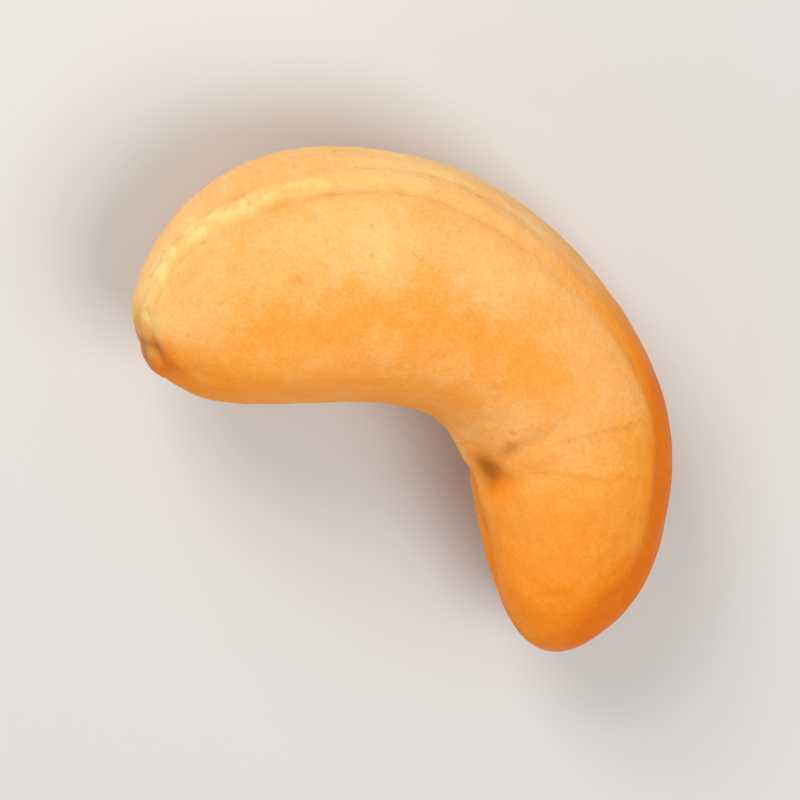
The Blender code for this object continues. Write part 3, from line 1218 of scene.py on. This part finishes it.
@dataclass(frozen=True)
class RoastedFlesh:
    """The finish of the kernel: golden, mottled, slightly oily and a little translucent.

    The toast mask, which carries painted shade and light as well as roasting, picks the colour,
    with mottling of three sizes on it. The other masks lay the pale rim with its painted highlight,
    the painted shade in the pits, the haze, the brown lines with painted shade in the grooves and
    cracks, and the stains with painted shadow at the thick tip over it.
    """

    # The deepest stops also colour the painted shade that the toast mask carries.
    toasts: tuple[tuple[float, Colour], ...] = (
        (0.00, (0.950, 0.595, 0.250)),
        (0.25, (0.925, 0.470, 0.152)),
        (0.45, (0.910, 0.358, 0.055)),
        (0.75, (0.890, 0.255, 0.007)),
        (1.00, (0.790, 0.170, 0.001)),
    )
    mottles: tuple[tuple[Noise, float], ...] = (
        (Noise(3.2, 3.0, 0.55), 0.04),
        (Noise(0.7, 3.0, 0.6), 0.05),
        (Noise(0.16, 2.0, 0.6), 0.07),
    )
    mottle_limits: Limits = (0.3, 0.7)
    # Pale seam strip, partly a painted highlight along it.
    rim: Layer = Layer(Mask.PALE_AND_HIGHLIGHT, 0.88, (0.900, 0.690, 0.275))
    freckles: Noise = Noise(0.42, 2.0, 0.5)
    freckle_limits: Limits = (0.64, 0.74)
    freckle_share: float = 0.42
    freckle: Colour = (0.800, 0.260, 0.030)
    # The pit and line layers are partly painted shade in pits, grooves and cracks, and the stain
    # layer is partly painted shadow at the thick tip.
    layers: tuple[Layer, ...] = (
        Layer(Mask.PIT_SHADE, 0.35, (0.800, 0.260, 0.030)),
        Layer(Mask.HAZE, 0.45, (0.780, 0.420, 0.150)),
        Layer(Mask.LINE_AND_SHADE, 0.36, (0.530, 0.260, 0.045)),
        Layer(Mask.STAIN_AND_TIP_SHADE, 1.00, (0.440, 0.130, 0.002)),
    )
    oil: Noise = Noise(2.0, 3.0, 0.55)
    oil_limits: Limits = (0.35, 0.65)
    roughness: Limits = (0.46, 0.66)
    dryness: float = 0.25
    reliefs: tuple[Relief, ...] = (
        Relief(Noise(0.42, 5.0, 0.62), 0.055, 0.85),
        Relief(Noise(0.12, 3.0, 0.6), 0.018, 0.80),
    )
    radius: Colour = (1.0, 0.36, 0.12)
    depth: float = 0.9
    translucence: float = 0.18
    specular: float = 0.11

    def colour(self, nodes: NodeWriter, place: Socket) -> Socket:
        """Lay the colours over each other.

        Args:
            nodes: The material's nodes.
            place: Output of the piece's own coordinates.

        Returns:
            Output of the base colour.
        """
        toast_and_shade = nodes.mask(Mask.TOAST_AND_SHADE)
        for noise, swing in self.mottles:
            mottle = nodes.remap(nodes.noise(place, noise), self.mottle_limits, (-swing, swing))
            toast_and_shade = nodes.math("ADD", toast_and_shade, mottle)
        colour = nodes.lay(nodes.colours(toast_and_shade, self.toasts), self.rim)
        freckles = nodes.noise(place, self.freckles)
        freckles = nodes.remap(freckles, self.freckle_limits, (0.0, self.freckle_share))
        colour = nodes.mix(freckles, colour, self.freckle)
        for layer in self.layers:
            colour = nodes.lay(colour, layer)
        return colour

    def material(self) -> bpy.types.Material:
        """Build the material.

        Returns:
            The material, with its colour, roughness and normals from nodes.
        """
        nodes = NodeWriter("roasted_flesh")
        place = nodes.place()
        oil = nodes.remap(nodes.noise(place, self.oil), self.oil_limits, self.roughness)
        dry = nodes.math("MULTIPLY", nodes.mask(Mask.LINE_AND_SHADE), self.dryness)
        normals = None
        for relief in self.reliefs:
            normals = nodes.bump(place, relief, normals)
        inputs = {
            "Base Color": self.colour(nodes, place),
            "Roughness": nodes.math("ADD", oil, dry),
            "Normal": normals,
            "Subsurface Weight": self.translucence,
            "Subsurface Radius": self.radius,
            "Subsurface Scale": self.depth * MM,
            "Specular IOR Level": self.specular,
        }
        nodes.fill(nodes.shader, inputs)
        return nodes.material


@dataclass(frozen=True)
class Kernel:
    """The whole roasted kernel, which stands for the part's one solid."""

    form: KernelForm = KernelForm()
    skin: FineSkin = FineSkin()
    toasting_and_shading: ToastingAndShading = ToastingAndShading()
    grid: Grid = Grid()
    flesh: RoastedFlesh = RoastedFlesh()
    flat_depth: float = 0.07
    flat_blend: float = 0.02

    def level_turn(self, feet: Field) -> Field:
        """The rotation that brings the three feet to one height.

        Args:
            feet: Three points under the kernel.

        Returns:
            A 3 by 3 matrix for column vectors.
        """
        first, second, third = (Vector(foot) for foot in feet)
        upward = (second - first).cross(third - first)
        if upward.z < 0.0:
            upward.negate()
        return np.array(upward.rotation_difference(Vector((0.0, 0.0, 1.0))).to_matrix())

    def set_down(self, points: Field, feet: Field, level: Field) -> Field:
        """Turn points level, lower them onto the table and flatten what is under it.

        Args:
            points: Surface points in the frame of the spine.
            feet: The three feet in that frame.
            level: The rotation that levels them.

        Returns:
            Points with a height of (z + sqrt(z * z + blend * blend)) / 2, which is z well above
            the table and almost 0 below it.
        """
        points = points @ level.T
        height = points[:, 2] - (feet @ level.T)[:, 2].mean() - self.flat_depth
        points[:, 2] = (height + np.sqrt(height**2 + self.flat_blend**2)) / 2.0
        points[:, 2] -= points[:, 2].min()
        return points

    def surface(self, site: Site) -> Field:
        """Every vertex in the frame of the part, in metres.

        Args:
            site: The places of the vertices.

        Returns:
            Points whose plain form is centred on the part's own box in plan.
        """
        feet = self.form.foot_points()
        level = self.level_turn(feet)
        rise = self.form.rise(site)
        plain = self.set_down(site.points + site.normals * rise[:, None], feet, level)
        rise = rise + self.skin.rise(site, self.form)
        points = self.set_down(site.points + site.normals * rise[:, None], feet, level)
        low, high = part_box(NODE)
        middle = (plain.min(axis=0) + plain.max(axis=0)) / 2.0
        points[:, :2] += np.array((low + high) / 2.0)[:2] / MM - middle[:2]
        return points * MM

    def mesh(self) -> bpy.types.Mesh:
        """Build the mesh with its masks and its flat coordinates.

        Returns:
            A closed, smooth-shaded mesh whose faces point outwards.
        """
        site = self.form.body.site(*self.grid.places(self.form.body))
        quads, fans = self.grid.faces()
        mesh = bpy.data.meshes.new("kernel")
        mesh.from_pydata(self.surface(site).tolist(), [], quads.tolist() + fans.tolist())
        mesh.shade_smooth()
        for mask, values in self.toasting_and_shading.masks(site, self.form, self.skin).items():
            attribute = mesh.attributes.new(mask.value, "FLOAT", "POINT")
            attribute.data.foreach_set("value", values.astype(np.float32))
        unwrapped = mesh.uv_layers.new(name="OFBake")
        unwrapped.data.foreach_set("uv", self.grid.unwrapped().astype(np.float32).ravel())
        mesh.update()
        return mesh

    def build(self) -> bpy.types.Object:
        """Make the kernel, dress it and give it the place of the part's solid.

        Returns:
            The finished object.
        """
        piece = add_object("roasted_kernel", self.mesh())
        piece.data.materials.append(self.flesh.material())
        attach(piece, "root")
        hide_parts(NODE)
        return piece


@dataclass(frozen=True)
class Tabletop:
    """The plain pale table under the kernel, which isn't part of it."""

    half: float = 1.5
    drop: float = 2e-5
    colour: Colour = (0.66, 0.655, 0.645)
    roughness: float = 0.7

    def build(self) -> bpy.types.Object:
        """Make the table as one flat square just below the kernel.

        Returns:
            The object.
        """
        corners = [(-1, -1), (1, -1), (1, 1), (-1, 1)]
        points = [(x * self.half, y * self.half, -self.drop) for x, y in corners]
        mesh = bpy.data.meshes.new("tabletop")
        mesh.from_pydata(points, [], [(0, 1, 2, 3)])
        nodes = NodeWriter("pale_table")
        nodes.fill(nodes.shader, {"Base Color": self.colour, "Roughness": self.roughness})
        mesh.materials.append(nodes.material)
        table = add_object("tabletop", mesh)
        return table


@dataclass(frozen=True)
class PictureView:
    """The camera: where it looks from, and the directions of the picture.

    Attributes:
        azimuth: Direction it looks from, round the vertical.
        elevation: Height above the horizon.
        roll: Turn about the line of sight.
        lens: Focal length.
        distance: Distance from the aim.
        aim: The point in the middle of the picture.
        nearest: Distance at which the camera starts to see.
    """

    azimuth: float = 252.6
    elevation: float = 71.0
    roll: float = 151.0
    lens: float = 430.0
    distance: float = 400.0
    aim: tuple[float, float, float] = (-0.7, -1.8, 5.0)
    nearest: float = 2.0

    def directions(self) -> tuple[Vector, Vector, Vector]:
        """The picture's directions.

        Returns:
            Unit vectors to the right, up, and back towards the camera.
        """
        a, e, r = (math.radians(turn) for turn in (self.azimuth, self.elevation, self.roll))
        back = Vector((math.sin(a) * math.cos(e), -math.cos(a) * math.cos(e), math.sin(e)))
        level = Vector((math.cos(a), math.sin(a), 0.0))
        upright = back.cross(level)
        right = level * math.cos(r) + upright * math.sin(r)
        return right, back.cross(right), back

    def from_aim(self, towards: Vector, distance: float) -> Matrix:
        """The move to a point in this direction from the aim, at this distance."""
        return Matrix.Translation((Vector(self.aim) + towards * distance) * MM)

    def build(self) -> None:
        """Make the camera and hand it to the scene."""
        data = bpy.data.cameras.new("picture_view")
        data.lens = self.lens
        data.clip_start = self.nearest * MM
        right, up, back = self.directions()
        turn = Matrix((right, up, back)).transposed().to_4x4()
        camera = add_object("picture_view", data)
        camera.matrix_world = self.from_aim(back, self.distance) @ turn
        bpy.context.scene.camera = camera


@dataclass(frozen=True)
class SoftLight:
    """A square soft light, placed by the picture's directions and turned to the kernel."""

    name: str
    right: float
    up: float
    back: float
    distance: float
    size: float
    power: float
    colour: Colour = (1.0, 1.0, 1.0)

    def build(self, view: PictureView) -> None:
        """Make the light.

        Args:
            view: The camera, whose directions place the light.
        """
        right, up, back = view.directions()
        towards = (right * self.right + up * self.up + back * self.back).normalized()
        data = bpy.data.lights.new(self.name, "AREA")
        data.size = self.size * MM
        data.energy = self.power
        data.color = self.colour
        turn = towards.to_track_quat("Z", "Y").to_matrix().to_4x4()
        light = add_object(self.name, data)
        light.matrix_world = view.from_aim(towards, self.distance) @ turn


@dataclass(frozen=True)
class Studio:
    """Plain soft light round the kernel: a key, a fill, a weak rim light and a pale sky."""

    lights: tuple[SoftLight, ...] = (
        SoftLight("key", -0.30, 0.52, 0.84, 260.0, 120.0, 0.42, (1.0, 0.985, 0.96)),
        SoftLight("fill", 0.54, -0.44, 0.80, 300.0, 180.0, 0.45, (1.0, 0.975, 0.94)),
        SoftLight("rim", -0.72, -0.62, 0.34, 300.0, 180.0, 0.14, (1.0, 0.985, 0.96)),
    )
    sky: Colour = (1.0, 0.985, 0.965)
    sky_strength: float = 0.38

    def build(self, view: PictureView) -> None:
        """Make the lights and the sky.

        Args:
            view: The camera, whose directions place the lights.
        """
        for light in self.lights:
            light.build(view)
        world = bpy.data.worlds.new("pale_sky")
        world.use_nodes = True
        background = world.node_tree.nodes["Background"]
        background.inputs["Color"].default_value = (*self.sky, 1.0)
        background.inputs["Strength"].default_value = self.sky_strength
        bpy.context.scene.world = world


def main() -> None:
    """Build the kernel, the table, the camera and the light."""
    logging.basicConfig(level=logging.INFO, format="%(message)s")
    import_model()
    bpy.context.scene.view_settings.view_transform = "Standard"
    view = PictureView()
    view.build()
    for part in (Kernel(), Tabletop()):
        piece = part.build()
        LOG.info("%s: %d vertices", piece.name, len(piece.data.vertices))
    Studio().build(view)


if __name__ == "__main__":
    main()
